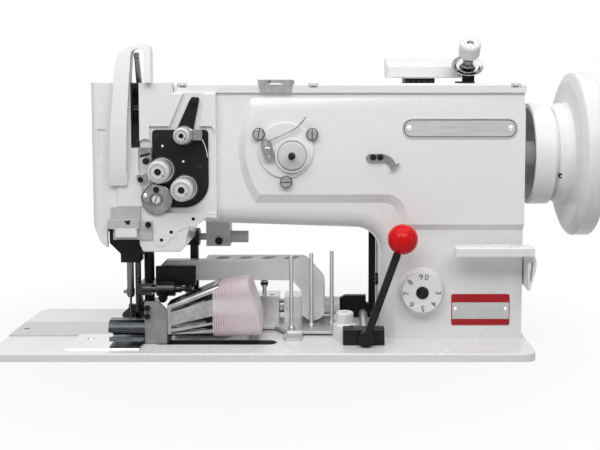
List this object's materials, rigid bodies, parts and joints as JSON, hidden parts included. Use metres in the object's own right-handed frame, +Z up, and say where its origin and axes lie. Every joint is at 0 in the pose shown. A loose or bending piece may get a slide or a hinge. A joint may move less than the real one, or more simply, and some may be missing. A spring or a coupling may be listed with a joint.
{
  "type": "leather sewing machine",
  "caption": "Flat-bed walking-foot leather sewing machine head with handwheel, tape binder, thread tensions, bobbin winder, stitch dial, reverse lever and ball-ended presser lift lever.",
  "frame": {"origin": "middle of the bed, on the rim of the skirt that the machine stands on", "axes": "+X along the bed from the needle end towards the handwheel, +Y from the operator to the rear, +Z up"},
  "size_m": [0.5845, 0.178, 0.3668],
  "materials": {
    "white_enamel": "semi-gloss enamel",
    "grey_enamel": "semi-gloss enamel",
    "polished_steel": "polished",
    "machined_steel": "ground",
    "black_steel": "blackened, oiled",
    "white_plastic": "gloss",
    "red_plastic": "gloss",
    "belt_rubber": "matt",
    "pink_foam": "soft, ribbed"
  },
  "bodies": {
    "frame": {"bed_casting": "white_enamel", "arm_casting": "white_enamel", "top_cover": "white_enamel", "face_cover": "white_enamel", "rear_cover": "white_enamel", "take_up_guard": "white_enamel", "needle_plate": "machined_steel", "screws": "polished_steel", "tension_plate": "black_steel", "tension_stacks": "polished_steel", "controller_disc": "machined_steel", "thread_guides": "polished_steel", "thread_arm": "black_steel", "winder_base": "polished_steel", "top_bracket": "polished_steel", "top_unit": "white_plastic", "pretension_bracket": "polished_steel", "timing_belt": "belt_rubber", "shaft_bushings": "machined_steel", "bobbin_case": "machined_steel", "hook_saddle": "machined_steel", "finger_guard": "machined_steel", "under_arm_bracket": "grey_enamel", "binder_blocks": "machined_steel", "binder_plate": "machined_steel", "binder_holder": "grey_enamel", "binder_jaws": "black_steel", "tape_horn": "machined_steel", "foam_sleeve": "pink_foam", "lever_block": "black_steel", "bed_post": "white_enamel"},
    "main_shaft": {"handwheel": "white_plastic", "upper_shaft": "machined_steel"},
    "lower_shaft": {"lower_shaft": "machined_steel"},
    "hook": {"rotary_hook": "machined_steel"},
    "bobbin": {"bobbin": "polished_steel"},
    "needle_frame": {"rocking_frame": "black_steel"},
    "needle_bar": {"needle_bar": "polished_steel"},
    "walking_foot": {"walking_foot": "black_steel"},
    "presser": {"presser_bar": "black_steel", "presser_foot": "black_steel", "presser_clamp": "black_steel"},
    "take_up": {"take_up_lever": "polished_steel"},
    "feed_bar": {"feed_bar": "machined_steel"},
    "feed_rocker": {"feed_rocker": "machined_steel"},
    "binder_arm": {"binder_arm": "grey_enamel", "binder_head_block": "black_steel"},
    "hanger": {"hanger": "black_steel"},
    "lift_lever": {"lift_lever": "black_steel", "lever_ball": "red_plastic"},
    "lift_bar": {"lift_bar": "black_steel"},
    "stitch_dial": {"stitch_dial": "white_plastic"},
    "reverse_lever": {"reverse_lever": "white_enamel"},
    "knob_left": {"tension_knob_left": "white_plastic"},
    "knob_right": {"tension_knob_right": "white_plastic"},
    "knob_small": {"tension_knob_small": "white_plastic"},
    "pretension_knob": {"pretension_knob": "white_plastic"},
    "winder_wheel": {"winder_wheel": "white_plastic"},
    "winder_latch": {"winder_latch": "machined_steel"},
    "slide_plate": {"slide_plate": "polished_steel"}
  },
  "joints": [
    {"name": "handwheel_turn", "type": "hinge", "parent": "frame", "child": "main_shaft", "pos_m": [0, 0.003, 0.251], "axis": [1, 0, 0], "continuous": true},
    {"name": "lower_shaft_turn", "type": "hinge", "parent": "frame", "child": "lower_shaft", "pos_m": [0, 0.003, 0.024], "axis": [1, 0, 0], "continuous": true},
    {"name": "hook_turn", "type": "hinge", "parent": "frame", "child": "hook", "pos_m": [-0.153, -0.0258, 0.05], "axis": [0, 0, 1], "continuous": true},
    {"name": "bobbin_turn", "type": "hinge", "parent": "frame", "child": "bobbin", "pos_m": [-0.153, -0.0258, 0.053], "axis": [0, 0, 1], "continuous": true},
    {"name": "needle_rock", "type": "hinge", "parent": "frame", "child": "needle_frame", "pos_m": [-0.15, 0.003, 0.298], "axis": [1, 0, 0], "range_deg": [-1.2, 1.2]},
    {"name": "needle_bar_slide", "type": "slide", "parent": "needle_frame", "child": "needle_bar", "axis": [0, 0, 1], "range_m": [-0.012, 0.026]},
    {"name": "walking_foot_slide", "type": "slide", "parent": "needle_frame", "child": "walking_foot", "axis": [0, 0, 1], "range_m": [0, 0.008]},
    {"name": "feed_slide", "type": "slide", "parent": "frame", "child": "feed_bar", "axis": [0, 1, 0], "range_m": [-0.0048, 0.0048]},
    {"name": "feed_rock", "type": "hinge", "parent": "frame", "child": "feed_rocker", "pos_m": [-0.115, 0.049, 0.03], "axis": [1, 0, 0], "range_deg": [-13, 13]},
    {"name": "binder_rock", "type": "hinge", "parent": "frame", "child": "binder_arm", "pos_m": [0.046, 0.039, 0.0855], "axis": [1, 0, 0], "range_deg": [-2.05, 2.05]},
    {"name": "hanger_swing", "type": "hinge", "parent": "frame", "child": "hanger", "pos_m": [-0.08, 0.029, 0.1615], "axis": [1, 0, 0], "range_deg": [-3, 3]},
    {"name": "presser_slide", "type": "slide", "parent": "frame", "child": "presser", "axis": [0, 0, 1], "range_m": [0, 0.0091]},
    {"name": "lift_lever_turn", "type": "hinge", "parent": "frame", "child": "lift_lever", "pos_m": [0.0985, -0.029, 0.078], "axis": [0, -1, 0], "range_deg": [0, 50]},
    {"name": "lift_bar_slide", "type": "slide", "parent": "frame", "child": "lift_bar", "axis": [0, 0, 1], "range_m": [0, 0.0106]},
    {"name": "take_up_swing", "type": "hinge", "parent": "frame", "child": "take_up", "pos_m": [-0.1235, 0.009, 0.27], "axis": [1, 0, 0], "range_deg": [0, 45]},
    {"name": "stitch_dial_turn", "type": "hinge", "parent": "frame", "child": "stitch_dial", "pos_m": [0.1537, -0.039, 0.1193], "axis": [0, -1, 0], "range_deg": [0, 324]},
    {"name": "reverse_lever_press", "type": "hinge", "parent": "frame", "child": "reverse_lever", "pos_m": [0.255, -0.004, 0.132], "axis": [1, 0, 0], "range_deg": [0, 15], "stiffness_Nm_per_rad": 2, "springref_deg": -14.32},
    {"name": "knob_left_turn", "type": "hinge", "parent": "frame", "child": "knob_left", "pos_m": [-0.098, -0.064, 0.2387], "axis": [0, -1, 0], "range_deg": [-360, 360]},
    {"name": "knob_right_turn", "type": "hinge", "parent": "frame", "child": "knob_right", "pos_m": [-0.076, -0.064, 0.2215], "axis": [0, -1, 0], "range_deg": [-360, 360]},
    {"name": "knob_small_turn", "type": "hinge", "parent": "frame", "child": "knob_small", "pos_m": [-0.0763, -0.061, 0.2725], "axis": [0, -1, 0], "range_deg": [-360, 360]},
    {"name": "pretension_knob_turn", "type": "hinge", "parent": "frame", "child": "pretension_knob", "pos_m": [0.1985, -0.023, 0.335], "axis": [0, -0.6428, 0.766], "range_deg": [-360, 360]},
    {"name": "winder_wheel_turn", "type": "hinge", "parent": "frame", "child": "winder_wheel", "pos_m": [0.0275, -0.051, 0.2526], "axis": [0, -1, 0], "continuous": true},
    {"name": "winder_latch_turn", "type": "hinge", "parent": "frame", "child": "winder_latch", "pos_m": [0.004, -0.049, 0.258], "axis": [0, 1, 0], "range_deg": [0, 20]},
    {"name": "slide_plate_slide", "type": "slide", "parent": "frame", "child": "slide_plate", "axis": [-1, 0, 0], "range_m": [0, 0.06]}
  ],
  "couplings": [
    {"joint": "lower_shaft_turn", "follows": "handwheel_turn", "ratio": 1},
    {"joint": "hook_turn", "follows": "handwheel_turn", "ratio": 2},
    {"joint": "feed_slide", "follows": "needle_rock", "m_per_rad": 0.22441},
    {"joint": "feed_rock", "follows": "needle_rock", "ratio": -10.2},
    {"joint": "binder_rock", "follows": "needle_rock", "ratio": -1.6667},
    {"joint": "hanger_swing", "follows": "needle_rock", "ratio": 2.2308},
    {"joint": "presser_slide", "follows": "lift_lever_turn", "m_per_rad": 0.0103},
    {"joint": "lift_bar_slide", "follows": "lift_lever_turn", "m_per_rad": 0.012}
  ]
}
